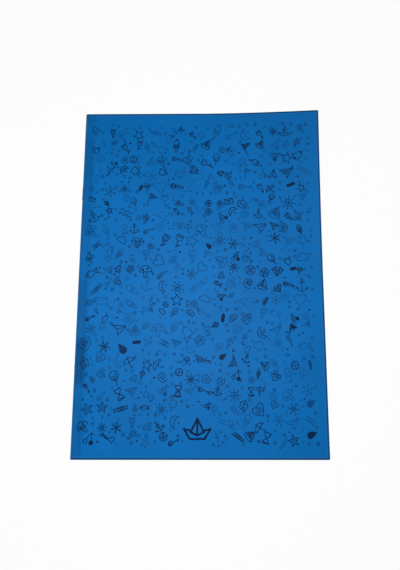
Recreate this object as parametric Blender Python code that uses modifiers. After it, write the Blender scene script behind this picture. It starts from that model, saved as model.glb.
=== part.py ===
"""A4 exercise book, closed and lying on its back cover: a folded plastic cover, nested folded
sheets of paper and two wire staples through the spine. Metres, +Z up, +Y towards the book's head,
spine at -X. The origin is under the middle of the book."""

import math

import bmesh
import bpy
from mathutils import Matrix, Vector

# Driving dimensions
BOOK_WIDTH = 0.210  # spine to fore edge
BOOK_HEIGHT = 0.297  # tail to head
COVER_THICKNESS = 0.0004
SHEET_COUNT = 12
PAPER_THICKNESS = 0.0001
PAPER_AIR_GAP = 0.00004  # between neighbouring sheets, and between the outer sheet and the cover
PAGE_INSET = 0.001  # the cover stands this far beyond the pages at head, tail and fore edge
STAPLE_WIRE = 0.0005
STAPLE_CROWN = 0.012
STAPLE_CLINCH = 0.0046  # length of each bent-over leg end, along the centre fold
STAPLE_BEND_RADIUS = 0.0004
STAPLE_SPACING = 0.148
STAPLE_FOLD_CLEARANCE = 0.0001  # from the bent-over legs to the innermost fold
STAPLE_COVER_CLEARANCE = 0.00005  # from the crown to the cover's spine
STAPLE_HOLE_CLEARANCE = 0.0001  # round each leg
HINGE_RELIEF = 0.0004  # from the opening axis to where each flat leaf or panel starts
FOLD_END_GAP = 0.0001  # from a fold's end to the leaf that carries it on
COVER_HINGE_STANDOFF = 0.00015  # height of the front cover's hinge line over the cover

# The head corner of the front cover's fore edge is curled up
CURL_LIFT = 0.0056
CURL_REACH_ALONG_HEAD = 0.102
CURL_REACH_ALONG_FORE_EDGE = 0.150
CURL_POWER = 1.6

# Fineness of round and curled shapes
FOLD_FACETS = 9  # odd, so that the middle one is flat where the staples go through
HOLE_SIDES = 12
BEND_STEPS = 4
COVER_GRID_COLUMNS = 16
COVER_GRID_ROWS = 22

# Sizes that follow from them
SHEET_PITCH = PAPER_THICKNESS + PAPER_AIR_GAP
CENTRE_FOLD_RADIUS = STAPLE_WIRE / 2 + STAPLE_FOLD_CLEARANCE
COVER_INNER_RADIUS = CENTRE_FOLD_RADIUS + SHEET_COUNT * SHEET_PITCH
COVER_OUTER_RADIUS = COVER_INNER_RADIUS + COVER_THICKNESS
BOOK_THICKNESS = 2 * COVER_OUTER_RADIUS
CROWN_STANDOUT = STAPLE_COVER_CLEARANCE + STAPLE_WIRE
SPINE_X = CROWN_STANDOUT - (BOOK_WIDTH + CROWN_STANDOUT) / 2
FORE_EDGE_X = SPINE_X + BOOK_WIDTH
OPENING_AXIS = Vector((SPINE_X + COVER_OUTER_RADIUS, 0, COVER_OUTER_RADIUS))
COVER_HINGE = Vector((OPENING_AXIS.x, 0, BOOK_THICKNESS + COVER_HINGE_STANDOFF))
PAGE_HEIGHT = BOOK_HEIGHT - 2 * PAGE_INSET
PANEL_REACH = FORE_EDGE_X - OPENING_AXIS.x  # from the opening axis to the cover's fore edge
PAGE_REACH = PANEL_REACH - PAGE_INSET


def linear(red, green, blue):
    """Colour for a material from its 8-bit display values."""
    return tuple((channel / 255) ** 2.2 for channel in (red, green, blue)) + (1.0,)


def make_material(name, color, roughness, metallic=0.0):
    material = bpy.data.materials.new(name)
    material.use_nodes = True
    shader = material.node_tree.nodes["Principled BSDF"]
    shader.inputs["Base Color"].default_value = color
    shader.inputs["Roughness"].default_value = roughness
    shader.inputs["Metallic"].default_value = metallic
    return material


def clear_scene():
    for obj in list(bpy.data.objects):
        bpy.data.objects.remove(obj, do_unlink=True)


def make_collection(name):
    collection = bpy.data.collections.new(name)
    bpy.context.scene.collection.children.link(collection)
    return collection


def make_axis(name, place, parts, parent=None):
    """An empty on a joint's axis, which carries the pieces that turn about it."""
    axis = bpy.data.objects.new(name, None)
    axis.location = place if parent is None else place - parent.location
    axis.parent = parent
    parts.objects.link(axis)
    return axis


def make_piece(name, mesh, material, axis, parts):
    piece = bpy.data.objects.new(name, mesh)
    piece.parent = axis
    mesh.materials.append(material)
    parts.objects.link(piece)
    return piece


def flat_panel(name, reach, height, bottom, thickness):
    """A flat rectangular leaf. It starts just past the opening axis, and its place is given from that axis."""
    bm = bmesh.new()
    bmesh.ops.create_cube(bm, size=1.0)
    bmesh.ops.scale(bm, verts=bm.verts, vec=(reach - HINGE_RELIEF, height, thickness))
    middle = Vector(((reach + HINGE_RELIEF) / 2, 0, bottom + thickness / 2))
    bmesh.ops.translate(bm, verts=bm.verts, vec=middle)
    mesh = bpy.data.meshes.new(name)
    bm.to_mesh(mesh)
    bm.free()
    return mesh


def curl_height(from_fore_edge, from_head):
    """How far the curled corner lifts the cover at this distance from its two edges."""
    share = 1 - from_fore_edge / CURL_REACH_ALONG_HEAD - from_head / CURL_REACH_ALONG_FORE_EDGE
    return CURL_LIFT * max(share, 0.0) ** CURL_POWER


def curled_panel(name, bottom):
    """The front panel's underside as an open grid, lifted at the curled corner."""
    bm = bmesh.new()
    bmesh.ops.create_grid(bm, x_segments=COVER_GRID_COLUMNS, y_segments=COVER_GRID_ROWS, size=0.5)
    bmesh.ops.scale(bm, verts=bm.verts, vec=(PANEL_REACH - HINGE_RELIEF, BOOK_HEIGHT, 1))
    bmesh.ops.translate(bm, verts=bm.verts, vec=((PANEL_REACH + HINGE_RELIEF) / 2, 0, bottom))
    for vert in bm.verts:
        vert.co.z += curl_height(PANEL_REACH - vert.co.x, BOOK_HEIGHT / 2 - vert.co.y)
    mesh = bpy.data.meshes.new(name)
    bm.to_mesh(mesh)
    bm.free()
    return mesh


def fold_surface(name, radius, length):
    """The inner face of a fold: half round the opening axis, with a short flat end above and below."""
    tail = HINGE_RELIEF - FOLD_END_GAP
    turns = [math.pi * step / FOLD_FACETS for step in range(FOLD_FACETS + 1)]
    arc = [(-radius * math.sin(turn), radius * math.cos(turn)) for turn in turns]
    outline = [(tail, radius), *arc, (tail, -radius)]
    bm = bmesh.new()
    line = [bm.verts.new((x, -length / 2, z)) for x, z in outline]
    edges = [bm.edges.new(pair) for pair in zip(line, line[1:])]
    swept = bmesh.ops.extrude_edge_only(bm, edges=edges)["geom"]
    moved = [item for item in swept if isinstance(item, bmesh.types.BMVert)]
    bmesh.ops.translate(bm, verts=moved, vec=(0, length, 0))
    for face in bm.faces:
        middle = face.calc_center_median()
        if face.normal.dot(Vector((min(middle.x, 0), 0, middle.z))) < 0:
            face.normal_flip()
    mesh = bpy.data.meshes.new(name)
    bm.to_mesh(mesh)
    bm.free()
    return mesh


def thicken(piece, thickness):
    """Gives an open surface its wall, on the side that its faces point to."""
    wall = piece.modifiers.new("wall", "SOLIDIFY")
    wall.thickness = thickness
    wall.offset = 1
    wall.use_even_offset = True


def pierce(piece, cutter):
    holes = piece.modifiers.new("staple_holes", "BOOLEAN")
    holes.operation = "DIFFERENCE"
    holes.solver = "EXACT"
    holes.object = cutter


def staple_positions():
    return {"staple_head": STAPLE_SPACING / 2, "staple_tail": -STAPLE_SPACING / 2}


def leg_positions():
    """Where along the spine each of the four legs goes in."""
    offset = (STAPLE_CROWN - STAPLE_WIRE) / 2
    return [y + side * offset for y in staple_positions().values() for side in (-1, 1)]


def make_hole_cutter(axis, cutters):
    """Four round punches, from outside the spine to the opening axis."""
    depth = COVER_OUTER_RADIUS + CROWN_STANDOUT
    turn = Matrix.Rotation(math.pi / 2, 4, "Y")
    radius = STAPLE_WIRE / 2 + STAPLE_HOLE_CLEARANCE
    bm = bmesh.new()
    for y in leg_positions():
        place = Matrix.Translation((-depth / 2, y, 0)) @ turn
        bmesh.ops.create_cone(
            bm, cap_ends=True, segments=HOLE_SIDES, radius1=radius, radius2=radius, depth=depth, matrix=place
        )
    mesh = bpy.data.meshes.new("staple_leg_punches")
    bm.to_mesh(mesh)
    bm.free()
    cutter = bpy.data.objects.new("staple_leg_punches", mesh)
    cutter.parent = axis
    cutter.hide_render = True
    cutter.display_type = "WIRE"
    cutters.objects.link(cutter)
    return cutter


def rounded_route(corners, radius):
    """The points of a wire bent through these corners, with an arc of the bend radius at each."""
    points = [corners[0]]
    for before, corner, after in zip(corners, corners[1:], corners[2:]):
        way_in = (before - corner).normalized()
        way_out = (after - corner).normalized()
        centre = corner + (way_in + way_out) * radius
        for step in range(BEND_STEPS + 1):
            turn = math.pi / 2 * step / BEND_STEPS
            points.append(centre - radius * (way_out * math.cos(turn) + way_in * math.sin(turn)))
    points.append(corners[-1])
    return points


def make_staple(name, y, material, axis, parts):
    """One wire staple: crown outside the spine, two legs through the folds, ends bent towards each other."""
    crown_x = -(COVER_OUTER_RADIUS + STAPLE_COVER_CLEARANCE + STAPLE_WIRE / 2)
    leg_y = (STAPLE_CROWN - STAPLE_WIRE) / 2
    tip_y = leg_y - STAPLE_CLINCH
    corners = [
        Vector((0, tip_y, 0)),
        Vector((0, leg_y, 0)),
        Vector((crown_x, leg_y, 0)),
        Vector((crown_x, -leg_y, 0)),
        Vector((0, -leg_y, 0)),
        Vector((0, -tip_y, 0)),
    ]
    route = rounded_route(corners, STAPLE_BEND_RADIUS)
    curve = bpy.data.curves.new(name, "CURVE")
    curve.dimensions = "3D"
    curve.bevel_depth = STAPLE_WIRE / 2
    curve.bevel_resolution = 2
    curve.use_fill_caps = True
    spline = curve.splines.new("POLY")
    spline.points.add(len(route) - 1)
    for point, place in zip(spline.points, route):
        point.co = (*place, 1)
    staple = make_piece(name, curve, material, axis, parts)
    staple.location.y = y
    return staple


def make_cover(material, opening, hinge, cutter, parts):
    back = flat_panel("back_cover", PANEL_REACH, BOOK_HEIGHT, -COVER_OUTER_RADIUS, COVER_THICKNESS)
    make_piece("back_cover", back, material, opening, parts)
    surface = fold_surface("cover_spine", COVER_INNER_RADIUS, BOOK_HEIGHT)
    spine = make_piece("cover_spine", surface, material, opening, parts)
    thicken(spine, COVER_THICKNESS)
    pierce(spine, cutter)
    underside = BOOK_THICKNESS - COVER_THICKNESS - COVER_HINGE.z
    front = make_piece("front_cover", curled_panel("front_cover", underside), material, hinge, parts)
    thicken(front, COVER_THICKNESS)


def make_sheet(number, material, opening, cutter, parts):
    """One folded sheet, numbered from the outside in: its front leaf, its fold and its back leaf."""
    radius = CENTRE_FOLD_RADIUS + (SHEET_COUNT - number) * SHEET_PITCH
    name = f"sheet_{number:02d}"
    leaves = {"front_leaf": radius, "back_leaf": -radius - PAPER_THICKNESS}
    for leaf, bottom in leaves.items():
        mesh = flat_panel(f"{name}_{leaf}", PAGE_REACH, PAGE_HEIGHT, bottom, PAPER_THICKNESS)
        make_piece(f"{name}_{leaf}", mesh, material, opening, parts)
    fold = make_piece(f"{name}_fold", fold_surface(f"{name}_fold", radius, PAGE_HEIGHT), material, opening, parts)
    thicken(fold, PAPER_THICKNESS)
    pierce(fold, cutter)


def main():
    clear_scene()
    parts = make_collection("notebook")
    cutters = make_collection("cutters")
    cover_blue = make_material("cover_plastic", linear(33, 104, 168), 0.35)
    paper_white = make_material("paper", linear(244, 243, 238), 0.85)
    staple_steel = make_material("staple_wire", linear(190, 192, 196), 0.3, 1.0)
    opening = make_axis("opening_axis", OPENING_AXIS, parts)
    hinge = make_axis("front_cover_hinge", COVER_HINGE, parts, opening)
    bpy.context.view_layer.update()
    cutter = make_hole_cutter(opening, cutters)
    make_cover(cover_blue, opening, hinge, cutter, parts)
    for number in range(1, SHEET_COUNT + 1):
        make_sheet(number, paper_white, opening, cutter, parts)
    for name, y in staple_positions().items():
        make_staple(name, y, staple_steel, opening, parts)


main()
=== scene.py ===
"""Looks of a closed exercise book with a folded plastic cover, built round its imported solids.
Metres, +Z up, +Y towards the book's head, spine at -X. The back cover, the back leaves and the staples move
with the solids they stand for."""

import functools
import math

import bmesh
import bpy
from bpy.props import FloatProperty, FloatVectorProperty, IntProperty, PointerProperty
from mathutils import Matrix, Vector


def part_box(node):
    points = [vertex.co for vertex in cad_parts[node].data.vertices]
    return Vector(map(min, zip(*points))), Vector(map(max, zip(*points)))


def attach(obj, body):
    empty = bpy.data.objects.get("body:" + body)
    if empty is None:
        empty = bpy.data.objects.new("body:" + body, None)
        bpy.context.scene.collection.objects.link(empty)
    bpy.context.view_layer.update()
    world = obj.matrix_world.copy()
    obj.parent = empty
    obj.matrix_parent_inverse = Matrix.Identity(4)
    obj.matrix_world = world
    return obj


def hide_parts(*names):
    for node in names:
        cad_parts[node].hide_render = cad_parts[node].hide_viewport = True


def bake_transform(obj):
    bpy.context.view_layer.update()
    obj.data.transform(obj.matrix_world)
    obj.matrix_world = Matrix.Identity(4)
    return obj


bl_info = {
    "name": "Exercise book",
    "version": (1, 0, 0),
    "blender": (4, 5, 0),
    "location": "View3D > Sidebar > Notebook",
    "description": "Builds the cover, sheets and staples of a stapled exercise book",
    "category": "Add Mesh",
}

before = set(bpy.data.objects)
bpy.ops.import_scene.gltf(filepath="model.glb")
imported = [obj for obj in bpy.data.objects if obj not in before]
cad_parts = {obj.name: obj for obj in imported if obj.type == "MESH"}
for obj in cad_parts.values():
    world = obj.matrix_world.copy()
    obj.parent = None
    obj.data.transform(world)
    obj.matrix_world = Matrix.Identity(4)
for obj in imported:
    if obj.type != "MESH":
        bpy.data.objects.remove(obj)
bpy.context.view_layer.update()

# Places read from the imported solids
BACK_LOW, BACK_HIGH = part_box("back_cover")
SPINE_LOW, SPINE_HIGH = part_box("cover_spine")
LEAF_LOW, LEAF_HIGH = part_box("sheet_01_front_leaf")
COVER_THICKNESS = BACK_HIGH.z - BACK_LOW.z
PAPER_THICKNESS = LEAF_HIGH.z - LEAF_LOW.z
BOOK_HEIGHT = BACK_HIGH.y - BACK_LOW.y
PAGE_HEIGHT = LEAF_HIGH.y - LEAF_LOW.y
FORE_EDGE_X = BACK_HIGH.x
PAGE_EDGE_X = LEAF_HIGH.x
BOOK_THICKNESS = SPINE_HIGH.z
COVER_RADIUS = BOOK_THICKNESS / 2
HINGE_RELIEF = 0.0004  # the solids' flat leaves start this far from the opening axis
AXIS = Vector((BACK_LOW.x - HINGE_RELIEF, 0, COVER_RADIUS))
COVER_REACH = FORE_EDGE_X - AXIS.x
PAGE_REACH = PAGE_EDGE_X - AXIS.x
SHEET_NAMES = sorted(name.removesuffix("_fold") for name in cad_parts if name.endswith("_fold"))
STAPLE_NAMES = ("staple_head", "staple_tail")
SPINE_WRAP = math.pi * COVER_RADIUS
FLAT_MAP = "flat"  # the UV map that lays a piece out flat, in metres
TINY = 1e-5
SHARP_ANGLE = math.radians(60)  # an edge this sharp is a cut edge
SMOOTH_ANGLE = math.radians(35)  # faces that meet at less are shaded as one

# Where the cover's colour changes near its spine and cut edges, in metres: painted shade, a painted
# highlight, scuffs, and a darker patch at the tail staple. A band rises over its first two numbers and
# falls over its last two.
SPINE_SHADE_STRIP = (-COVER_RADIUS, 0.0006, 0.0042, 0.0095)  # painted shade beside the spine, where the cover slopes down to it
STAPLE_DARK_PLACE = -0.071  # up the spine, at the tail staple, where that strip is darkest
STAPLE_DARK_REACH = (0.027, 0.012)  # from there, to where it fades out and to where it is full
SPINE_FOLD_SHADE = (-0.0037, -0.0031, -0.0018, -0.0009)  # painted shade on the rounded spine's outer fold
EDGE_HIGHLIGHT = (0.0011, 0.0018, 0.0024, 0.0032)  # painted highlight, a pale line at these distances from the cut edge
# painted shade along the cut edges: full up to the second number from the edge, gone from the first
EDGE_SHADE = (0.0017, 0.0010)
SCUFFED_EDGE = (0.0007, 0.0001)
# the pale blue of the painted highlight inside the cut edges
HIGHLIGHT_BLUE = (0.02, 0.17, 0.48)
SCUFF_BLUE = (0.03, 0.22, 0.52)

# How finely the bending pieces are cut
BEND_STEPS = 8
PANEL_COLUMNS = 50
PANEL_ROWS = 66
SPINE_FACETS = 28
SPINE_ROWS = 24

# The print
EMBLEM_PLACE = (0.0981, 0.0121)  # the bold drawing's middle, from the print's first column and row
BACK_ROWS = 7  # the back cover's print starts this many rows on
SCATTER = 0.64  # how far the drawings stray from their rows, from 0 to 1
ROOM_LIMIT = 0.0062  # the most room round its centre that a drawing uses
ROOM_FILLED = 1.14  # half a drawing's width, as a share of its room
DRAWING_CLEARANCE = 0.0035  # from a drawing's centre to the bold one
FILLER_CLEARANCE = 0.002
FILLER_PITCH = 0.54  # between the fillers, as a share of the drawings' pitch
FILLER_SCATTER = 0.8
FILLER_GAP = 0.0004  # from a drawing to a filler's centre
INK_SPREAD = 0.00007  # half the width of the soft edge of a line


def metres(name, description, default):
    return FloatProperty(name=name, description=description, default=default, unit="LENGTH")


def portion(name, description, default):
    return FloatProperty(name=name, description=description, default=default, min=0, max=1)


def whole_number(name, description, default, least=1):
    return IntProperty(name=name, description=description, default=default, min=least)


def tint(name, description, default):
    return FloatVectorProperty(name=name, description=description, default=default, subtype="COLOR")


class CoverLook(bpy.types.PropertyGroup):
    plastic: tint("Plastic", "Colour of the cover", (0.0025, 0.156, 0.488))
    ink: tint("Ink", "Colour of the printed drawings", (0.0004, 0.006, 0.032))
    roughness: portion("Roughness", "Roughness of the plastic", 0.44)
    gloss: portion("Gloss", "How much the plastic mirrors", 0.05)
    corner_radius: metres("Corner radius", "Rounding of the fore edge's corners", 0.0008)
    edge_radius: metres("Edge radius", "Rounding along the cut edges", 0.00009)
    bend_strip: metres("Bend strip", "How much of the front panel bends as it opens", 0.0024)
    groove_place: metres("Groove place", "Its middle, from the flat panel's start", 0.0034)
    groove_width: metres("Groove width", "Half its width", 0.0026)
    groove_depth: metres("Groove depth", "Depth of the groove", 0.00014)
    curl_lift: metres("Curl lift", "How far the front cover's head corner stands up", 0.0056)
    curl_along_head: metres("Curl along the head", "Where the curl starts on the head edge", 0.102)
    curl_along_fore_edge: metres("Curl along the fore edge", "Where it starts on the fore edge", 0.150)
    curl_power: FloatProperty(name="Curl power", description="How suddenly it turns up", default=1.6)


class PrintLook(bpy.types.PropertyGroup):
    pitch: metres("Pitch", "Mean distance between neighbouring drawings", 0.0125)
    columns: whole_number("Columns", "Drawings across the cover", 16)
    rows: whole_number("Rows", "Drawings up the cover", 22)
    stroke: metres("Stroke", "Width of a drawn line", 0.00068)
    filler_size: metres("Filler size", "Half the width of the marks between the drawings", 0.0018)
    tail_margin: metres("Tail margin", "From the tail to the first row", 0.0115)
    spine_margin: metres("Spine margin", "From the flat panel's start to the first column", 0.0062)
    fore_margin: metres("Fore edge margin", "From the last column to the fore edge", 0.0088)
    emblem_size: metres("Emblem size", "Half the width of the bold drawing near the tail", 0.0112)
    emblem_stroke: metres("Emblem stroke", "Width of its lines", 0.0016)


class PageLook(bpy.types.PropertyGroup):
    paper: tint("Paper", "Colour of the sheets", (0.86, 0.85, 0.80))
    rule: tint("Rule", "Colour of the writing lines", (0.30, 0.46, 0.68))
    margin: tint("Margin", "Colour of the margin line", (0.72, 0.16, 0.18))
    rule_pitch: metres("Rule pitch", "Between writing lines", 0.008)
    rule_width: metres("Rule width", "Width of a line", 0.00028)
    rule_start: metres("First rule", "From the page's head", 0.028)
    rule_end: metres("Last rule", "From the page's tail", 0.014)
    margin_place: metres("Margin place", "Margin line, from a page's left side", 0.026)
    fold_steps: whole_number("Fold steps", "Facets round each fold", 14, 4)


class StapleLook(bpy.types.PropertyGroup):
    steel: tint("Steel", "Colour of the wire", (0.58, 0.59, 0.61))
    wire: metres("Wire", "Diameter of the wire", 0.0005)
    bend_radius: metres("Bend", "Radius of each bend", 0.0004)
    clinch: metres("Clinch", "Length of each bent-over leg end", 0.0046)
    sides: whole_number("Sides", "Sides of the wire", 16, 6)


class StageLook(bpy.types.PropertyGroup):
    floor: tint("Floor", "Colour of the floor", (0.84, 0.84, 0.84))
    ambient: portion("Ambient", "Light from all round", 0.12)
    lens: FloatProperty(name="Lens", description="Focal length in millimetres", default=26.0)


def deselect_all():
    bpy.ops.object.select_all(action="DESELECT")


def new_piece(name):
    """Names the shape just added, applies its place to its mesh and opens it in edit mode."""
    piece = bpy.context.active_object
    piece.name = name
    piece.data.name = name
    bpy.ops.object.transform_apply(location=True, rotation=True, scale=True)
    bpy.ops.object.mode_set(mode="EDIT")
    return piece


def add_plane(name, low, high, height):
    """Adds a rectangle that faces up, from one corner to the other, in edit mode."""
    deselect_all()
    centre = Vector(((low[0] + high[0]) / 2, (low[1] + high[1]) / 2, height))
    bpy.ops.mesh.primitive_plane_add(size=1, location=centre)
    piece = new_piece(name)
    size = (high[0] - low[0], high[1] - low[1], 1)
    bpy.ops.transform.resize(value=size, center_override=centre)
    return piece


def choose(kind, test):
    """Selects the vertices or edges in edit mode that pass the test, and nothing else."""
    bpy.ops.mesh.select_mode(type=kind)
    bpy.ops.mesh.select_all(action="DESELECT")
    mesh = bpy.context.edit_object.data
    shape = bmesh.from_edit_mesh(mesh)
    found = [item for item in {"VERT": shape.verts, "EDGE": shape.edges}[kind] if test(item)]
    for item in found:
        item.select_set(True)
    shape.select_flush_mode()
    bmesh.update_edit_mesh(mesh)
    if not found:
        raise RuntimeError(f"{bpy.context.edit_object.name}: nothing to select")


def slice_across(axis, places):
    """Cuts the mesh in edit mode straight across at each of these places along an axis."""
    for place in places:
        bpy.ops.mesh.select_all(action="SELECT")
        bpy.ops.mesh.bisect(plane_co=axis * place, plane_no=axis)


def slice_rows(count):
    """Cuts the cover piece in edit mode into this many rows between tail and head."""
    slice_across(Vector((0, 1, 0)), steps_between(-BOOK_HEIGHT / 2, BOOK_HEIGHT / 2, count))


def steps_between(start, end, count):
    """Places that part a length into this many equal steps, without its two ends."""
    return [start + (end - start) * step / count for step in range(1, count)]


def apply_modifier(piece, modifier):
    bpy.context.view_layer.objects.active = piece
    bpy.ops.object.modifier_apply(modifier=modifier.name)


def give_wall(piece, thickness):
    """Gives an open surface its wall, on the side that its faces point to."""
    wall = piece.modifiers.new("wall", "SOLIDIFY")
    wall.thickness = thickness
    wall.offset = 1
    wall.use_even_offset = True
    apply_modifier(piece, wall)


def lift(piece, name, height, share_at):
    """Moves each vertex up by the height, times the share that its place gets."""
    group = piece.vertex_groups.new(name=name)
    for vertex in piece.data.vertices:
        share = share_at(vertex.co)
        if share > 0:
            group.add([vertex.index], share, "REPLACE")
    shift = piece.modifiers.new(name, "DISPLACE")
    shift.direction = "Z"
    shift.mid_level = 0
    shift.strength = height
    shift.vertex_group = name
    apply_modifier(piece, shift)
    piece.vertex_groups.remove(piece.vertex_groups[name])


def bevel_rim(radius):
    """Rounds the panel's cut edges in edit mode, but not where it meets the cover's spine."""
    def at_rim(edge):
        meets_spine = all(abs(vert.co.x - AXIS.x) < TINY for vert in edge.verts)
        return not meets_spine and len(edge.link_faces) == 2 and edge.calc_face_angle() > SHARP_ANGLE

    choose("EDGE", at_rim)
    bpy.ops.mesh.bevel(offset=radius, segments=2, affect="EDGES")


def close_edit():
    bpy.ops.object.mode_set(mode="OBJECT")
    bpy.ops.object.shade_smooth_by_angle(angle=SMOOTH_ANGLE)


def outwardness(face):
    """How far a face points away from the opening axis, or from its height where a leaf is flat."""
    across = min(face.center.x - AXIS.x, 0)
    return face.normal.dot(Vector((across, 0, face.center.z - AXIS.z)).normalized())


def turn_round_spine(place):
    """How far round the spine a place is, from 0 on the front panel to half a turn on the back one."""
    if place.x >= AXIS.x:
        return 0 if place.z > AXIS.z else math.pi
    return math.atan2(AXIS.x - place.x, place.z - AXIS.z)


def lay_flat(piece, place_on_map):
    """Writes the UV map: where each corner of each face lies on the flat sheet, in metres."""
    layer = piece.data.uv_layers.new(name=FLAT_MAP)
    for face in piece.data.polygons:
        for corner in face.loop_indices:
            place = piece.data.vertices[piece.data.loops[corner].vertex_index].co
            layer.data[corner].uv = place_on_map(place, face)


def dress(piece, materials, material_at):
    """Gives the piece its slot and materials, and each face the one that material_at picks."""
    for material in materials:
        piece.data.materials.append(material)
    for face in piece.data.polygons:
        face.material_index = material_at(face)


def cover_map(place, _face):
    """Distance from the front panel's start, negative round the spine and over the back, and height."""
    beyond = max(place.x - AXIS.x, 0)
    turn = turn_round_spine(place)
    across = beyond if turn == 0 else -turn * COVER_RADIUS - beyond
    return across, place.y


def page_map(place, face):
    """Distance from the page's left side as it is read, and distance from its head."""
    from_spine = place.x - AXIS.x
    faces_up = face.normal.z > 0
    return from_spine if faces_up else PAGE_REACH - from_spine, PAGE_HEIGHT / 2 - place.y


def binary(operation, reflected=False):
    """A method of Shade for an operation on two terms. Reflected puts its own value second."""
    def method(shade, other):
        return shade.combine(operation, *((other, shade) if reflected else (shade, other)))

    return method


class Shade:
    """A value or vector in a material's nodes. Arithmetic on it adds Math or Vector Math nodes."""

    def __init__(self, graph, socket):
        self.graph = graph
        self.socket = socket

    def is_vector(self):
        return self.socket.type in ("VECTOR", "RGBA")

    def math(self, operation, *others, clamp=False):
        values = dict(enumerate((self, *others)))
        return self.graph.add("ShaderNodeMath", {"operation": operation, "use_clamp": clamp}, values)

    def vector_math(self, operation, sockets, output="Vector"):
        return self.graph.add("ShaderNodeVectorMath", {"operation": operation}, sockets, output)

    def combine(self, operation, first, second):
        """One operation on two terms, of which self is one."""
        if not self.is_vector():
            return self.graph.add("ShaderNodeMath", {"operation": operation}, {0: first, 1: second})
        scales = not isinstance(second, tuple) and not (isinstance(second, Shade) and second.is_vector())
        if operation == "MULTIPLY" and scales:
            return self.vector_math("SCALE", {0: first, "Scale": second})
        return self.vector_math(operation, {0: first, 1: second})

    __add__ = __radd__ = binary("ADD")
    __sub__ = binary("SUBTRACT")
    __rsub__ = binary("SUBTRACT", reflected=True)
    __mul__ = __rmul__ = binary("MULTIPLY")
    __truediv__ = binary("DIVIDE")
    __rtruediv__ = binary("DIVIDE", reflected=True)
    at_least = binary("MAXIMUM")
    at_most = binary("MINIMUM")
    above = binary("GREATER_THAN")
    below = binary("LESS_THAN")

    def __abs__(self):
        return self.math("ABSOLUTE")

    def fraction(self):
        return self.math("FRACT")

    def also(self, output):
        """Another output of the same node."""
        return Shade(self.graph, self.socket.node.outputs[output])

    def length(self):
        return self.vector_math("LENGTH", {0: self}, "Value")

    def dot(self, other):
        return self.vector_math("DOT_PRODUCT", {0: self, 1: other}, "Value")

    def part(self, axis):
        return self.graph.add("ShaderNodeSeparateXYZ", {}, {0: self}, axis)

    def rise(self, start, end):
        """0 up to start and 1 from end, smooth between. It falls where start is past end."""
        settings = {"interpolation_type": "SMOOTHSTEP"}
        if start < end:
            ends = {"From Min": start, "From Max": end}
        else:
            ends = {"From Min": end, "From Max": start, "To Min": 1.0, "To Max": 0.0}
        return self.graph.add("ShaderNodeMapRange", settings, {"Value": self, **ends}, "Result")

    def band(self, foot, top, end, gone):
        """1 from top to end, and down to 0 at foot and at gone."""
        return self.rise(foot, top) * self.rise(gone, end)

    def turned(self, angle):
        """The vector turned about Z."""
        sockets = {"Vector": self, "Angle": angle}
        return self.graph.add("ShaderNodeVectorRotate", {"rotation_type": "Z_AXIS"}, sockets)


class Graph:
    """The nodes of a material or a node group."""

    def __init__(self, tree):
        self.tree = tree

    def add(self, kind, settings=None, sockets=None, output=0):
        """Adds a node, sets it up, gives its sockets values or links, and returns one of its outputs."""
        node = self.tree.nodes.new(kind)
        for name, value in (settings or {}).items():
            if name == "stops":
                set_stops(node.color_ramp, value)
            else:
                setattr(node, name, value)
        self.fill(node.name, sockets or {})
        return Shade(self, node.outputs[output]) if node.outputs else None

    def fill(self, title, sockets):
        """Gives sockets of the node of this title their values or links."""
        node = self.tree.nodes[title]
        for key, value in sockets.items():
            if isinstance(value, Shade):
                self.tree.links.new(value.socket, node.inputs[key])
            else:
                node.inputs[key].default_value = value

    def noise(self, place, scale, detail=2.0, roughness=0.5, output="Fac"):
        sockets = {"Vector": place, "Scale": scale, "Detail": detail, "Roughness": roughness}
        return self.add("ShaderNodeTexNoise", {}, sockets, output)

    def mix(self, share, first, second):
        """first where the share is 0 and second where it is 1."""
        sockets = {0: share, 6: opaque(first), 7: opaque(second)}
        return self.add("ShaderNodeMix", {"data_type": "RGBA"}, sockets, 2)

    def point(self, x, y):
        return self.add("ShaderNodeCombineXYZ", {}, {0: x, 1: y})

    def flat_place(self):
        return self.add("ShaderNodeUVMap", {"uv_map": FLAT_MAP}, {}, "UV")


def set_stops(ramp, colours):
    """Parts a ramp into as many equal steps as there are colours."""
    ramp.interpolation = "CONSTANT"
    while len(ramp.elements) < len(colours):
        ramp.elements.new(1.0)
    for number, colour in enumerate(colours):
        ramp.elements[number].position = number / len(colours)
        ramp.elements[number].color = colour


def opaque(colour):
    """A colour as the four numbers that a socket takes. A shade stays as it is."""
    return colour if isinstance(colour, Shade) else (*colour[:3], 1.0)


def scaled(colour, share):
    return tuple(channel * share for channel in colour[:3])


SHADER = "Principled BSDF"


def bump(height, distance):
    return height.graph.add("ShaderNodeBump", {}, {"Height": height, "Distance": distance}, "Normal")


def stroke_group():
    """A node group: the distance from a point to a straight stroke."""
    name = "stroke_distance"
    if name in bpy.data.node_groups:
        return bpy.data.node_groups[name]
    tree = bpy.data.node_groups.new(name, "ShaderNodeTree")
    for title in ("Point", "Start", "End"):
        tree.interface.new_socket(name=title, in_out="INPUT", socket_type="NodeSocketVector")
    tree.interface.new_socket(name="Distance", in_out="OUTPUT", socket_type="NodeSocketFloat")
    graph = Graph(tree)
    point = graph.add("NodeGroupInput")
    start, end = point.also("Start"), point.also("End")
    from_start, along = point - start, end - start
    reach = from_start.dot(along).math("DIVIDE", along.dot(along), clamp=True)
    graph.add("NodeGroupOutput", {}, {0: (from_start - along * reach).length()})
    return tree


def stroke(point, start, end):
    """Distance to a straight stroke, whose ends are number pairs or shades."""
    start, end = (place if isinstance(place, Shade) else (*place, 0) for place in (start, end))
    return point.graph.add("ShaderNodeGroup", {"node_tree": stroke_group()}, {0: point, 1: start, 2: end})


def nearest(distances):
    return functools.reduce(Shade.at_most, distances)


def pairs_of(lines):
    """Every straight stroke of some drawn lines, as its two ends."""
    return [pair for line in lines for pair in zip(line, line[1:])]


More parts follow.
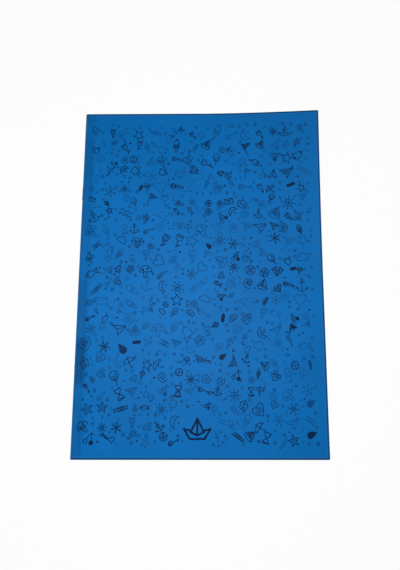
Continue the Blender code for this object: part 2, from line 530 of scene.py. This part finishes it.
def polar(radius, half_turns):
    """The place this far from the middle, turned this many half turns from +X."""
    return radius * math.cos(math.pi * half_turns), radius * math.sin(math.pi * half_turns)


def regular(count, radius, start=0.5):
    """The corners of a regular shape, the first one twice. start is its half turns from +X."""
    return [polar(radius, start + 2 * step / count) for step in range(count + 1)]


def rays(count, inner, outer):
    return [list(pair) for pair in zip(regular(count, inner), regular(count, outer))][:-1]


def star(count, inner, outer):
    """A star's outline, from tip to notch and back."""
    tips, notches = regular(count, outer), regular(count, inner, 0.5 + 1 / count)
    outline = [point for pair in zip(tips, notches) for point in pair]
    return outline[:-1]


def spiral(turns, steps, radius):
    """A shell's winding line, from its middle out."""
    shares = [step / steps for step in range(1, steps + 1)]
    return [polar(radius * share, 2 * turns * share) for share in shares]


def mirrored(half):
    """An outline from its one half: that half, then its mirror image from the end back."""
    other = [(-x, y) for x, y in reversed(half)]
    return half + other[1:] if half[-1][0] == 0 else half + other


def drawing(*lines, rings=(), dots=(), bold=1):
    """Lines, rings and filled dots, given in hundredths of half the drawing's width. It has up to
    STROKES straight strokes in all, and up to CIRCLES rings and dots, each as x, y and radius."""
    circles = [(x / 100, y / 100, radius / 100, 0) for x, y, radius in rings]
    circles += [(x / 100, y / 100, radius / 100, 1) for x, y, radius in dots]
    return [[(x / 100, y / 100) for x, y in line] for line in lines], circles, bold


STROKES = 12
CIRCLES = 2
NO_CIRCLE = (0, 0, -1, 0)
BOLDEST = 5
DRAWINGS = {
    "house": drawing(
        [(-80, 18), (0, 86), (80, 18)], mirrored([(-60, 30), (-60, -74)]),
        mirrored([(-18, -74), (-18, -26)]),
        rings=[(0, 24, 15)],
    ),
    "kite": drawing(
        mirrored([(0, 92), (52, 34), (0, -50)]), [(-52, 34), (52, 34)],
        [(0, 92), (0, -50), (16, -68), (-10, -78), (8, -95)],
    ),
    "envelope": drawing([(-84, 50), (84, 50), (84, -50), (-84, -50), (-84, 50), (0, -8), (84, 50)]),
    "heart": drawing(mirrored([(0, 40), (24, 68), (55, 68), (76, 40), (66, 2), (0, -76)])),
    "mushroom": drawing(
        [*mirrored([(-86, -6), (-78, 32), (-44, 68), (0, 80)]), (-86, -6)],
        mirrored([(-25, -6), (-20, -78)]), dots=[(30, 36, 9), (-34, 22, 11)],
    ),
    "umbrella": drawing(
        mirrored([(0, 80), (74, 42), (88, 0), (44, 14), (0, 0)]),
        [(0, 94), (0, -74), (16, -88), (32, -74)],
    ),
    "bell": drawing(
        mirrored([(0, 70), (34, 58), (48, 20), (54, -24), (80, -50)]),
        rings=[(0, 82, 10)], dots=[(0, -66, 13)],
    ),
    "balloon": drawing(
        [(10, -36), (0, -22), (-10, -36), (10, -36)], [(0, -36), (10, -60), (-8, -78), (4, -96)],
        [(20, 50), (30, 34)], rings=[(0, 32, 54)],
    ),
    "leaf": drawing(
        mirrored([(0, 90), (36, 46), (40, 0), (0, -62)]), [(0, 62), (0, -95)],
        [(0, 12), (26, 36)], [(0, -2), (-28, 24)], [(0, -26), (26, 0)], [(0, -36), (-24, -10)],
    ),
    "ice cream": drawing(
        [(-40, 10), (0, -90), (40, 10), (-40, 10)], [(-26, -24), (14, 10)], [(26, -24), (-14, 10)],
        rings=[(0, 46, 38)], dots=[(0, 92, 8)],
    ),
    "anchor": drawing(
        [(0, 58), (0, -80)], [(-34, 34), (34, 34)], mirrored([(-72, -24), (-46, -64), (0, -80)]),
        *[[(50 * side, -36), (72 * side, -24), (82 * side, -50)] for side in (1, -1)],
        rings=[(0, 74, 15)],
    ),
    "cup": drawing(
        [(-62, 30), (40, 30), (28, -64), (-50, -64), (-62, 30)],
        [(38, 14), (76, 6), (72, -28), (32, -34)],
        *[[(x, 50), (x + 10, 66), (x, 86)] for x in (-30, 6)],
    ),
    "fish": drawing(
        [(-84, 0), (-42, 36), (12, 36), (50, 8), (86, 40), (74, 0), (86, -40), (50, -8), (12, -36),
         (-42, -36), (-84, 0)], dots=[(-44, 8, 8)],
    ),
    "key": drawing(
        [(-22, 0), (86, 0), (86, -30)], [(58, 0), (58, -24)],
        rings=[(-54, 0, 32), (-62, 0, 10)], bold=1.2,
    ),
    "paper plane": drawing([(-88, 12), (86, 66), (22, -72), (-10, -10), (-88, 12)], [(-10, -10), (86, 66)]),
    "cloud": drawing(
        [(-50, -40), (-80, -26), (-78, 4), (-46, 16), (-34, 50), (8, 60), (38, 36), (72, 30), (86, -4),
         (66, -38), (-50, -40)],
    ),
    "moon": drawing(
        [(28, 80), (-20, 70), (-56, 30), (-58, -22), (-26, -66), (30, -80), (0, -42), (-8, 0), (2, 44),
         (28, 80)], dots=[(50, 10, 7)],
    ),
    "star": drawing(star(5, 40, 92)),
    "snow crystal": drawing(
        *rays(3, 90, -90),
        *[[(x * 0.5, y * 0.5), (x * 0.62 - y * 0.22, y * 0.62 + x * 0.22)]
          for x, y in regular(6, 100)[:-1]],
    ),
    "sun": drawing(*rays(8, 60, 90), rings=[(0, 0, 40)], dots=[(0, 0, 12)]),
    "tulip": drawing(
        mirrored([(0, -5), (-44, 20), (-40, 82), (-14, 46), (0, 90)]),
        [(0, -5), (0, -92), (42, -42), (6, -60)],
    ),
    "shell": drawing(spiral(1.9, 13, 84)),
    "sailing boat": drawing(
        [(-82, -36), (82, -36), (50, -76), (-50, -76), (-82, -36)],
        [(0, -36), (0, 88), (64, -14), (0, -14)], [(-10, 60), (-58, -14), (-10, -14), (-10, 60)],
    ),
    "pennant": drawing(
        [(-44, 88), (-44, -88)], [(-44, 80), (62, 42), (-44, 4)], [(34, 50), (34, 36)],
        *[[(x, y), (x, 84 - y)] for x, y in ((-30, 72), (-14, 66), (2, 60), (18, 54))], bold=1.5,
    ),
    "gem": drawing(
        [(-44, 52), (44, 52), (86, 12), (0, -78), (-86, 12), (-44, 52)], [(-86, 12), (86, 12)],
        mirrored([(-44, 52), (-30, 12), (0, -78)]),
    ),
    "hourglass": drawing(
        [(-52, 80), (52, 80), (46, 50), (-46, -50), (-52, -80), (52, -80), (46, -50), (-46, 50),
         (-52, 80)], [(-30, -66), (30, -66)], bold=1.1,
    ),
    "waves": drawing(*[
        [(-84, y - 12), (-50, y + 14), (-16, y - 12), (18, y + 14), (52, y - 12), (84, y + 10)]
        for y in (-26, 26)
    ]),
    "cherries": drawing(
        [(-38, -22), (10, 76), (42, -20)], [(10, 76), (60, 66)],
        rings=[(-42, -50, 28)], dots=[(44, -48, 27)],
    ),
    "ball": drawing(
        *[[(38 * side, 52), (14 * side, 20), (14 * side, -20), (38 * side, -52)] for side in (-1, 1)],
        rings=[(0, 0, 64)],
    ),
    "drop": drawing(
        [(0, -30), (0, 66)], [(30, 0), (4, 60)], [(-30, 0), (-4, 60)], [(14, 0), (2, 50)],
        [(-14, 0), (-2, 50)], dots=[(0, -26, 40)], bold=1.2,
    ),
    "bead": drawing([(-34, -34), (34, 34)], bold=4.2),
    "ladder": drawing(
        [(-100, 20), (100, 12)], [(-100, -14), (100, -20)], [(-76, -14), (-78, 20)],
        [(-38, -14), (-40, 18)], [(2, -16), (0, 16)], [(40, -18), (38, 16)], [(78, -18), (76, 14)],
        bold=1.1,
    ),
}


def drawing_ramp(share, stops):
    """The four numbers that a ramp holds for the drawing at this share of its length."""
    colour = share.graph.add("ShaderNodeValToRGB", {"stops": stops}, {0: share})
    return *(colour.part(axis) for axis in "XYZ"), colour.also("Alpha")


def picked_drawing(chance, point):
    """Distance to the drawing that a chance picks, and how bold it is."""
    graph = point.graph
    count = len(DRAWINGS)
    share = ((chance * count).math("FLOOR") + 0.5) / count
    halved = point * 0.5 + (0.5, 0.5, 0)  # ramps hold numbers from 0 to 1
    drawn = [(pairs_of(lines), circles) for lines, circles, _ in DRAWINGS.values()]
    distances = []
    for number in range(STROKES):
        ends = [pairs[number % len(pairs)] for pairs, _ in drawn]
        stops = [tuple(0.5 + value / 2 for place in pair for value in place) for pair in ends]
        x_start, y_start, x_end, y_end = drawing_ramp(share, stops)
        distances.append(stroke(halved, graph.point(x_start, y_start), graph.point(x_end, y_end)))
    for number in range(CIRCLES):
        chosen = [(circles + [NO_CIRCLE] * CIRCLES)[number] for _, circles in drawn]
        stops = [(0.5 + x / 2, 0.5 + y / 2, 0.5 + radius / 2, fill) for x, y, radius, fill in chosen]
        x, y, reach, fill = drawing_ramp(share, stops)
        outside = (halved - graph.point(x, y)).length() - (reach - 0.5)
        distances.append(outside.at_least((fill - 1) * outside))
    weights = [(weight / BOLDEST, 0, 0, 1) for _, _, weight in DRAWINGS.values()]
    return nearest(distances) * 2, drawing_ramp(share, weights)[0] * BOLDEST


def inked(distance, size, width):
    """1 on a stroke of this width, where the distance counts in units of the drawing's size."""
    return (distance * size - width / 2).rise(INK_SPREAD, -INK_SPREAD)


def boat_emblem(place):
    """A bold folded paper boat, in the unit of half its width."""
    hull = [mirrored([(-0.42, -0.12), (-1, 0.02), (-0.56, -0.68)])]
    sail = [mirrored([(0, 0.74), (-0.5, -0.2), (0, -0.42)]), [(0, 0.74), (0, -0.42)]]
    return nearest(stroke(place, *pair) for pair in pairs_of(hull + sail))


def filler(chance, point):
    """Distance to a dot, a ring, a cross or a dash, picked by a chance from 0 to 1."""
    ring = abs(point.length() - 0.6)
    dash = stroke(point, (-0.8, 0), (0.8, 0))
    cross = dash.at_most(stroke(point, (0, -0.8), (0, 0.8)))
    found = point.length() - 0.34
    for limit, shape in ((0.14, ring), (0.45, cross), (0.75, dash)):
        found = chance.above(limit) * (shape - found) + found
    return found


def print_place(place, look):
    """Where a place lies in the print, and how far up in it the cover's rows start there."""
    stretch = look.columns * look.pitch / (COVER_REACH - look.spine_margin - look.fore_margin)
    first_row = place.part("X").below(-SPINE_WRAP / 2) * (BACK_ROWS * look.pitch)
    across = (across_cover(place) - look.spine_margin) * stretch
    up = place.part("Y") + (BOOK_HEIGHT / 2 - look.tail_margin) + first_row
    return place.graph.point(across, up), first_row


def whole(centre, first_row, look, room):
    """1 where a drawing with this centre lies within the print and clear of the bold one."""
    across, up = centre.part("X"), centre.part("Y") - first_row
    from_emblem = (centre - (*EMBLEM_PLACE, 0)).length()
    in_columns = across.above(0) * across.below(look.columns * look.pitch)
    in_rows = up.above(0) * up.below(look.rows * look.pitch)
    return in_columns * in_rows * from_emblem.above(look.emblem_size * 1.15 + room)


def scattered(place, pitch, scatter):
    """The nearest drawing's middle, its own three chances, and the room round it."""
    def cells(feature, output):
        settings = {"voronoi_dimensions": "2D", "feature": feature}
        sockets = {"Vector": place, "Scale": 1 / pitch, "Randomness": scatter}
        return place.graph.add("ShaderNodeTexVoronoi", settings, sockets, output)

    centre = cells("F1", "Position")
    room = cells("N_SPHERE_RADIUS", "Radius") * pitch
    return centre, centre.also("Color"), room.at_most(ROOM_LIMIT) * ROOM_FILLED


def print_mask(place, look):
    """How much ink lies on each place of the flat cover: drawings, fillers and a bold drawing."""
    laid, first_row = print_place(place, look)
    wobble = place.graph.noise(place, 420.0, 1.0, 0.5, "Color") - (0.5, 0.5, 0.5)
    hand = laid + wobble * 0.0007
    centre, chance, size = scattered(hand, look.pitch, SCATTER)
    local = (hand - centre).turned((chance.part("Y") - 0.5) * 2.2) * (1 / size)
    distance, bold = picked_drawing(chance.part("X"), local)
    drawn = inked(distance, size, bold * look.stroke)
    strength = chance.part("Z").rise(0.1, 0.8) * 0.52 + 0.4

    across, up = local.part("X"), local.part("Y")
    shaded = abs(across).at_least(abs(up) * 1.25).rise(0.44, 0.4)
    hatching = ((across + up) * 5).fraction().rise(0.35, 0.5)
    chosen = (chance.part("Y") * 5).fraction().above(0.58)
    drawn = drawn.at_least(shaded * hatching * chosen * 0.7)
    drawn = drawn * strength * whole(centre, first_row, look, DRAWING_CLEARANCE)

    small_centre, small_chance, _ = scattered(hand, look.pitch * FILLER_PITCH, FILLER_SCATTER)
    near, _, near_size = scattered(small_centre, look.pitch, SCATTER)
    taken = near_size * whole(near, first_row, look, DRAWING_CLEARANCE)
    free = ((small_centre - near).length() - taken).above(FILLER_GAP)
    turn = small_chance.part("Y") * 2 * math.pi
    distance = filler(small_chance.part("X"), (hand - small_centre).turned(turn) * (1 / look.filler_size))
    specks = inked(distance, look.filler_size, look.stroke * 0.9)
    specks = specks * free * whole(small_centre, first_row, look, FILLER_CLEARANCE)
    specks = specks * (small_chance.part("Z") * 0.5 + 0.4)

    emblem_place = (hand - (*EMBLEM_PLACE, 0)) * (1 / look.emblem_size)
    emblem = inked(boat_emblem(emblem_place), look.emblem_size, look.emblem_stroke)
    return drawn.at_least(specks).at_least(emblem * 0.95)


def across_cover(place):
    """Distance from the start of the nearer flat panel, negative on the spine's fold."""
    return abs(place.part("X") + SPINE_WRAP / 2) - SPINE_WRAP / 2


def rim_distance(place):
    """Distance to the nearest cut edge of the cover."""
    return (COVER_REACH - across_cover(place)).at_most(BOOK_HEIGHT / 2 - abs(place.part("Y")))


def paint_plastic(graph, look, printing=None):
    """Blue semi-gloss plastic with a fine grain, scuffed at its edges, and printed or not. Its colour also
    holds painted shade beside the spine, on its fold and along the cut edges, and a painted highlight just
    inside them.
    """
    place = graph.flat_place()
    tone = graph.noise(place, 16.0, 3.0, 0.55)
    speckle = graph.noise(place, 2600.0, 2.0, 0.6)
    base = graph.mix(tone.rise(0.3, 0.7), scaled(look.plastic, 0.95), scaled(look.plastic, 1.05))
    base = graph.mix(speckle.rise(0.45, 0.8) * 0.12, base, scaled(look.plastic, 0.6))
    beside_spine, up = across_cover(place), place.part("Y")
    # Painted shade beside the spine, where the cover slopes down to it, varied by the tone and darker still
    # at the tail staple
    staple_dark = abs(up - STAPLE_DARK_PLACE).rise(*STAPLE_DARK_REACH) * 0.85
    spine_shade_share = (tone.rise(0.25, 0.75) * 0.62).at_least(staple_dark)
    base = graph.mix(beside_spine.band(*SPINE_SHADE_STRIP) * spine_shade_share, base, scaled(look.plastic, 0.42))
    rim = rim_distance(place)
    # Painted highlight: a pale line just inside the cut edges
    base = graph.mix(rim.band(*EDGE_HIGHLIGHT) * 0.45, base, HIGHLIGHT_BLUE)
    # Painted shade along the cut edges
    base = graph.mix(rim.rise(*EDGE_SHADE) * 0.85, base, scaled(look.plastic, 0.34))
    # Painted shade on the spine's fold, stronger towards the head
    spine_fold_shade = beside_spine.band(*SPINE_FOLD_SHADE) * (up.rise(-0.06, 0.02) * 0.55 + 0.2)
    base = graph.mix(spine_fold_shade, base, scaled(look.plastic, 0.3))
    scuffs = rim.rise(*SCUFFED_EDGE) * graph.noise(place, 130.0, 4.0, 0.65).rise(0.58, 0.72)
    base = graph.mix(scuffs * 0.25, base, SCUFF_BLUE)
    grain = graph.noise(place, 3800.0, 2.0, 0.55)
    roughness = graph.noise(place, 34.0, 3.0, 0.6) * 0.14 + (look.roughness - 0.07)
    if printing is not None:
        ink = print_mask(place, printing)
        base = graph.mix(ink, base, look.ink)
        roughness = roughness + ink * 0.06
    ripple = graph.noise(place, 60.0, 2.0, 0.5) * 6.0
    normal = bump(grain + ripple, 0.000012)
    gloss = {"Roughness": roughness, "Specular IOR Level": look.gloss}
    graph.fill(SHADER, {"Base Color": base, "Normal": normal, **gloss})


def paint_paper(graph, look, ruled):
    """Uncoated writing paper with a fibre grain, ruled with writing lines and a margin line or not."""
    place = graph.flat_place()
    fibres = graph.noise(place, 900.0, 4.0, 0.65)
    clouds = graph.noise(place, 70.0, 3.0, 0.6)
    base = graph.mix(clouds.rise(0.3, 0.7), scaled(look.paper, 0.97), look.paper)
    base = graph.mix(fibres.rise(0.55, 0.85) * 0.10, base, scaled(look.paper, 0.75))
    if ruled:
        left, down = place.part("X"), place.part("Y")
        rule_place = (down - look.rule_start) / look.rule_pitch + 0.5
        nearest_rule = abs(rule_place.fraction() - 0.5) * look.rule_pitch
        within = down.above(look.rule_start - look.rule_pitch / 2)
        within = within * down.below(PAGE_HEIGHT - look.rule_end)
        ink_flow = fibres.rise(0.2, 0.6) * 0.3 + 0.6
        rules = nearest_rule.rise(look.rule_width * 0.75, look.rule_width * 0.25) * within * ink_flow
        edge = abs(left - look.margin_place).rise(look.rule_width * 0.8, look.rule_width * 0.3) * ink_flow
        base = graph.mix(rules, base, look.rule)
        base = graph.mix(edge, base, look.margin)
    gloss = {"Roughness": fibres * 0.12 + 0.76, "Specular IOR Level": 0.25}
    graph.fill(SHADER, {"Base Color": base, "Normal": bump(fibres, 0.00002), **gloss})


def paint_steel(graph, look):
    """Drawn steel wire: fine marks and a few dull spots."""
    place = graph.add("ShaderNodeTexCoord", output="Object")
    marks = graph.noise(place, 9000.0, 3.0, 0.6)
    spots = graph.noise(place, 900.0, 2.0, 0.5)
    base = graph.mix(spots.rise(0.45, 0.75) * 0.5, look.steel, scaled(look.steel, 0.62))
    gloss = {"Roughness": marks * 0.16 + spots * 0.1 + 0.14, "Metallic": 1.0}
    graph.fill(SHADER, {"Base Color": base, "Normal": bump(marks, 0.000006), **gloss})


def painted(name, paint, *settings):
    """The material of this name, made and painted the first time that it is asked for."""
    material = bpy.data.materials.get(name)
    if material is None:
        material = bpy.data.materials.new(name)
        material.use_nodes = True
        paint(Graph(material.node_tree), *settings)
    return material


def cover_panel(name, underside, look):
    """A flat cover panel with rounded fore-edge corners, cut into a grid fine enough to bend."""
    piece = add_plane(name, (AXIS.x, -BOOK_HEIGHT / 2), (FORE_EDGE_X, BOOK_HEIGHT / 2), underside)
    choose("VERT", lambda vert: vert.co.x > 0)
    bpy.ops.mesh.bevel(offset=look.corner_radius, segments=4, affect="VERTICES")
    bend_end = AXIS.x + look.bend_strip
    groove_end = AXIS.x + look.groove_place + look.groove_width
    columns = steps_between(AXIS.x, bend_end, BEND_STEPS) + steps_between(bend_end, groove_end, BEND_STEPS)
    columns += [bend_end, groove_end] + steps_between(groove_end, FORE_EDGE_X, PANEL_COLUMNS)
    slice_across(Vector((1, 0, 0)), columns)
    slice_rows(PANEL_ROWS)
    bpy.ops.object.mode_set(mode="OBJECT")
    give_wall(piece, COVER_THICKNESS)
    return piece


def press_groove(piece, look, side_z, way):
    """Presses a shallow groove along the spine into the panel's outer face."""
    def share(place):
        off = abs(place.x - AXIS.x - look.groove_place) / look.groove_width
        on_face = abs(place.z - side_z) < TINY
        return 0.5 + 0.5 * math.cos(math.pi * off) if on_face and off < 1 else 0

    lift(piece, "groove", way * look.groove_depth, share)


def curl_share(place, look):
    from_fore_edge = FORE_EDGE_X - place.x
    from_head = BOOK_HEIGHT / 2 - place.y
    share = 1 - from_fore_edge / look.curl_along_head - from_head / look.curl_along_fore_edge
    return max(share, 0) ** look.curl_power


def dress_cover(piece, scene):
    """Prints the outside of a cover piece and its cut edges, and leaves its inside plain."""
    look = scene.notebook_cover
    printed = painted("cover_plastic_printed", paint_plastic, look, scene.notebook_print)
    plain = painted("cover_plastic_inside", paint_plastic, look)
    lay_flat(piece, cover_map)
    dress(piece, (printed, plain), lambda face: int(outwardness(face) <= -0.5))


def finish_panel(piece, scene):
    bpy.ops.object.mode_set(mode="EDIT")
    bevel_rim(scene.notebook_cover.edge_radius)
    close_edit()
    dress_cover(piece, scene)


class NOTEBOOK_OT_front_cover(bpy.types.Operator):
    """Add the front cover: a plastic panel with a pressed groove, its head corner curled up"""

    bl_idname = "notebook.front_cover"
    bl_label = "Front cover"

    def execute(self, context):
        look = context.scene.notebook_cover
        piece = cover_panel("cover_front_panel", BOOK_THICKNESS - COVER_THICKNESS, look)
        press_groove(piece, look, BOOK_THICKNESS, -1)
        lift(piece, "curl", look.curl_lift, lambda place: curl_share(place, look))
        finish_panel(piece, context.scene)
        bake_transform(piece)
        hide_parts("front_cover")
        return {"FINISHED"}


class NOTEBOOK_OT_back_cover(bpy.types.Operator):
    """Add the back cover: the plastic panel that the book rests on"""

    bl_idname = "notebook.back_cover"
    bl_label = "Back cover"

    def execute(self, context):
        look = context.scene.notebook_cover
        piece = cover_panel("cover_back_panel", 0, look)
        press_groove(piece, look, 0, 1)
        finish_panel(piece, context.scene)
        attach(piece, "back_cover")
        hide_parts("back_cover")
        return {"FINISHED"}


class NOTEBOOK_OT_cover_spine(bpy.types.Operator):
    """Add the cover's spine: the rounded fold between the two panels"""

    bl_idname = "notebook.cover_spine"
    bl_label = "Cover spine"

    def execute(self, context):
        inner = COVER_RADIUS - COVER_THICKNESS
        corner = (AXIS.x, -BOOK_HEIGHT / 2)
        piece = add_plane("cover_spine_fold", corner, (AXIS.x + inner, BOOK_HEIGHT / 2), AXIS.z + inner)
        choose("VERT", lambda vert: vert.co.x > AXIS.x + TINY)
        bpy.ops.mesh.delete(type="VERT")
        spin_round_axis(SPINE_FACETS)
        close_edit()
        give_wall(piece, COVER_THICKNESS)
        bpy.ops.object.mode_set(mode="EDIT")
        slice_rows(SPINE_ROWS)
        close_edit()
        dress_cover(piece, context.scene)
        bend(piece)
        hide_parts("cover_spine")
        return {"FINISHED"}


def spin_round_axis(steps):
    """Spins the edge over the opening axis half round it in edit mode, past the spine."""
    choose("VERT", lambda vert: abs(vert.co.x - AXIS.x) < TINY)
    bpy.ops.mesh.spin(steps=steps, angle=math.pi, center=AXIS, axis=(0, 1, 0))
    bpy.ops.mesh.select_all(action="SELECT")
    bpy.ops.mesh.remove_doubles(threshold=TINY / 10)
    bpy.ops.mesh.normals_make_consistent(inside=False)
    faces = bmesh.from_edit_mesh(bpy.context.edit_object.data).faces
    if max(faces, key=lambda face: face.calc_center_median().z).normal.z < 0:
        bpy.ops.mesh.flip_normals()


def bend(piece):
    """Applies a fold's place to its mesh; the fold lies between the leaf that turns and the back cover that
    lies still.
    """
    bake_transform(piece)


class NOTEBOOK_OT_sheets(bpy.types.Operator):
    """Add the folded sheets, each a front leaf with its fold and a back leaf"""

    bl_idname = "notebook.sheets"
    bl_label = "Sheets"

    def execute(self, context):
        look = context.scene.notebook_pages
        ruled = painted("paper_ruled", paint_paper, look, True)
        plain = painted("paper_plain", paint_paper, look, False)
        low, high = (AXIS.x, -PAGE_HEIGHT / 2), (PAGE_EDGE_X, PAGE_HEIGHT / 2)
        for name in SHEET_NAMES:
            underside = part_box(f"{name}_front_leaf")[0].z
            front = add_plane(f"{name}_front", low, high, underside)
            spin_round_axis(look.fold_steps)
            close_edit()
            back = add_plane(f"{name}_back", low, high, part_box(f"{name}_back_leaf")[0].z)
            close_edit()
            for piece in (front, back):
                give_wall(piece, PAPER_THICKNESS)
                lay_flat(piece, page_map)
                dress(piece, (ruled, plain), lambda face: int(abs(outwardness(face)) <= 0.5))
            bend(front)
            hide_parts(f"{name}_front_leaf", f"{name}_fold")
            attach(back, f"{name}_back_leaf")
            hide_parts(f"{name}_back_leaf")
        return {"FINISHED"}


class NOTEBOOK_OT_staples(bpy.types.Operator):
    """Add the two wire staples, their legs bent over along the centre fold"""

    bl_idname = "notebook.staples"
    bl_label = "Staples"

    def execute(self, context):
        look = context.scene.notebook_staples
        for name in STAPLE_NAMES:
            low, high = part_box(name)
            crown_x = low.x + look.wire / 2
            legs = (low.y + look.wire / 2, high.y - look.wire / 2)
            piece = make_staple(f"{name}_wire", look, crown_x, legs)
            dress(piece, (painted("staple_steel", paint_steel, look),), lambda face: 0)
            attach(piece, "spine")
            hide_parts(name)
        return {"FINISHED"}


def make_staple(name, look, crown_x, legs):
    """A wire that runs from one clinched tip out through the fold, along the crown and back in."""
    deselect_all()
    radius = look.bend_radius
    inner_x, outer_x = AXIS.x - radius, crown_x + radius
    low_y, high_y = legs[0] + radius, legs[1] - radius
    bpy.ops.mesh.primitive_circle_add(
        vertices=look.sides, radius=look.wire / 2, fill_type="NGON",
        location=(AXIS.x, legs[0] + look.clinch, AXIS.z), rotation=(math.pi / 2, 0, 0),
    )
    piece = new_piece(name)
    bpy.ops.mesh.select_all(action="SELECT")
    bpy.ops.mesh.extrude_region_move(TRANSFORM_OT_translate={"value": (0, radius - look.clinch, 0)})
    bends = (
        ((inner_x, low_y), (outer_x - inner_x, 0)),
        ((outer_x, low_y), (0, high_y - low_y)),
        ((outer_x, high_y), (inner_x - outer_x, 0)),
        ((inner_x, high_y), (0, radius - look.clinch)),
    )
    for centre, straight in bends:
        bpy.ops.mesh.spin(steps=6, angle=math.pi / 2, center=(*centre, AXIS.z), axis=(0, 0, 1))
        bpy.ops.mesh.extrude_region_move(TRANSFORM_OT_translate={"value": (*straight, 0)})
    bpy.ops.mesh.select_all(action="SELECT")
    bpy.ops.mesh.remove_doubles(threshold=TINY / 10)
    bpy.ops.mesh.normals_make_consistent(inside=False)
    close_edit()
    return piece


# Each lamp: its place, what it points at, its face's width and height, its power, and its spread in degrees
LAMPS = {
    "key": ((-0.05, -0.04, 0.5), (-0.05, -0.04, 0), (0.3, 0.3), 0.64, 100),
    "fill": ((0.25, 0.25, 0.6), (0.05, 0.05, 0), (0.3, 0.3), 0.18, 90),
    "side": ((1.0, -0.9, 0.32), (0, 0, 0), (0.9, 0.4), 2.6, 180),
    "back": ((-0.9, 1.0, 0.32), (0, 0, 0), (0.9, 0.4), 2.6, 180),
    "open page": ((-0.40, -0.05, 0.3), (-0.40, -0.05, 0), (0.15, 0.3), 0.11, 66),
}
WHITE = (1, 1, 1, 1)
FLOOR_DEPTH = 0.0002  # the floor lies this far under the book's underside
# Where the camera stands, its turn from straight down as an axis times an angle in radians, and its shift
CAMERA_PLACE = (0.017491, -0.037817, 0.355450)
CAMERA_TURN = Vector((0.1452, 0.006554, -0.001991))
CAMERA_SHIFT = (-0.03110, -0.04270)


def add_lamp(name, place, target, size, power, spread):
    deselect_all()
    bpy.ops.object.light_add(type="AREA", location=place)
    lamp = bpy.context.active_object
    lamp.name = name
    lamp.data.shape = "RECTANGLE"
    lamp.data.size, lamp.data.size_y = size
    lamp.data.energy = power
    lamp.data.spread = math.radians(spread)
    lamp.rotation_euler = (Vector(target) - Vector(place)).to_track_quat("-Z", "Y").to_euler()


def paint_floor(graph, look):
    """A pale floor that the camera sees as white, with the object's shadow kept."""
    tone = graph.noise(graph.add("ShaderNodeTexCoord", output="Object"), 6.0)
    base = graph.mix(tone, scaled(look.floor, 0.99), look.floor)
    graph.fill(SHADER, {"Base Color": base, "Roughness": 0.9, "Specular IOR Level": 0.1})
    plain = Shade(graph, graph.tree.nodes[SHADER].outputs["BSDF"])
    glow = graph.add("ShaderNodeEmission", {}, {"Color": WHITE, "Strength": 1.0})
    mixed = graph.add("ShaderNodeMixShader", {}, {0: seen_directly(graph) * 0.95, 1: plain, 2: glow})
    graph.fill("Material Output", {"Surface": mixed})


def seen_directly(graph):
    """1 for a ray from the camera, or one that a shiny or clear surface sends on."""
    camera = graph.add("ShaderNodeLightPath", output="Is Camera Ray")
    return camera.at_least(camera.also("Is Glossy Ray")).at_least(camera.also("Is Transmission Ray"))


class NOTEBOOK_OT_stage(bpy.types.Operator):
    """Add the floor, the soft studio light and the camera"""

    bl_idname = "notebook.stage"
    bl_label = "Stage"

    def execute(self, context):
        look = context.scene.notebook_stage
        deselect_all()
        bpy.ops.mesh.primitive_plane_add(size=8, location=(0, 0, -FLOOR_DEPTH))
        floor = bpy.context.active_object
        floor.name = "floor"
        floor.data.materials.append(painted("floor", paint_floor, look))
        for name, settings in LAMPS.items():
            add_lamp(name, *settings)
        world = bpy.data.worlds.new("studio")
        context.scene.world = world
        world.use_nodes = True
        graph = Graph(world.node_tree)
        strength = seen_directly(graph) * (1 - look.ambient) + look.ambient
        graph.fill("Background", {"Color": WHITE, "Strength": strength})
        self.add_camera(context.scene, look)
        context.scene.view_settings.view_transform = "Standard"
        return {"FINISHED"}

    def add_camera(self, scene, look):
        """Stands the camera over the book's lower half, tilted a little, as for the picture."""
        deselect_all()
        bpy.ops.object.camera_add(location=CAMERA_PLACE)
        camera = bpy.context.active_object
        turn = Matrix.Rotation(CAMERA_TURN.length, 3, CAMERA_TURN.normalized())
        camera.rotation_euler = turn.to_euler()
        camera.data.lens = look.lens
        camera.data.sensor_width = 36
        camera.data.shift_x, camera.data.shift_y = CAMERA_SHIFT
        camera.data.clip_start = 0.01
        scene.camera = camera


class NOTEBOOK_PT_panel(bpy.types.Panel):
    """Lists the pieces of the exercise book"""

    bl_label = "Exercise book"
    bl_idname = "NOTEBOOK_PT_panel"
    bl_space_type = "VIEW_3D"
    bl_region_type = "UI"
    bl_category = "Notebook"

    def draw(self, context):
        for operator in OPERATORS:
            self.layout.operator(operator.bl_idname)
        for name, look in LOOKS.items():
            box = self.layout.box()
            for setting in look.__annotations__:
                box.prop(getattr(context.scene, name), setting)


OPERATORS = (
    NOTEBOOK_OT_stage,
    NOTEBOOK_OT_back_cover,
    NOTEBOOK_OT_cover_spine,
    NOTEBOOK_OT_front_cover,
    NOTEBOOK_OT_sheets,
    NOTEBOOK_OT_staples,
)
LOOKS = {
    "notebook_cover": CoverLook,
    "notebook_print": PrintLook,
    "notebook_pages": PageLook,
    "notebook_staples": StapleLook,
    "notebook_stage": StageLook,
}


CLASSES = (*LOOKS.values(), *OPERATORS, NOTEBOOK_PT_panel)


def register():
    for kind in CLASSES:
        bpy.utils.register_class(kind)
    for name, look in LOOKS.items():
        setattr(bpy.types.Scene, name, PointerProperty(type=look))


def unregister():
    for name in LOOKS:
        delattr(bpy.types.Scene, name)
    for kind in reversed(CLASSES):
        bpy.utils.unregister_class(kind)


def main():
    register()
    bpy.ops.notebook.stage()
    bpy.ops.notebook.back_cover()
    bpy.ops.notebook.cover_spine()
    bpy.ops.notebook.front_cover()
    bpy.ops.notebook.sheets()
    bpy.ops.notebook.staples()


if __name__ == "__main__":
    main()
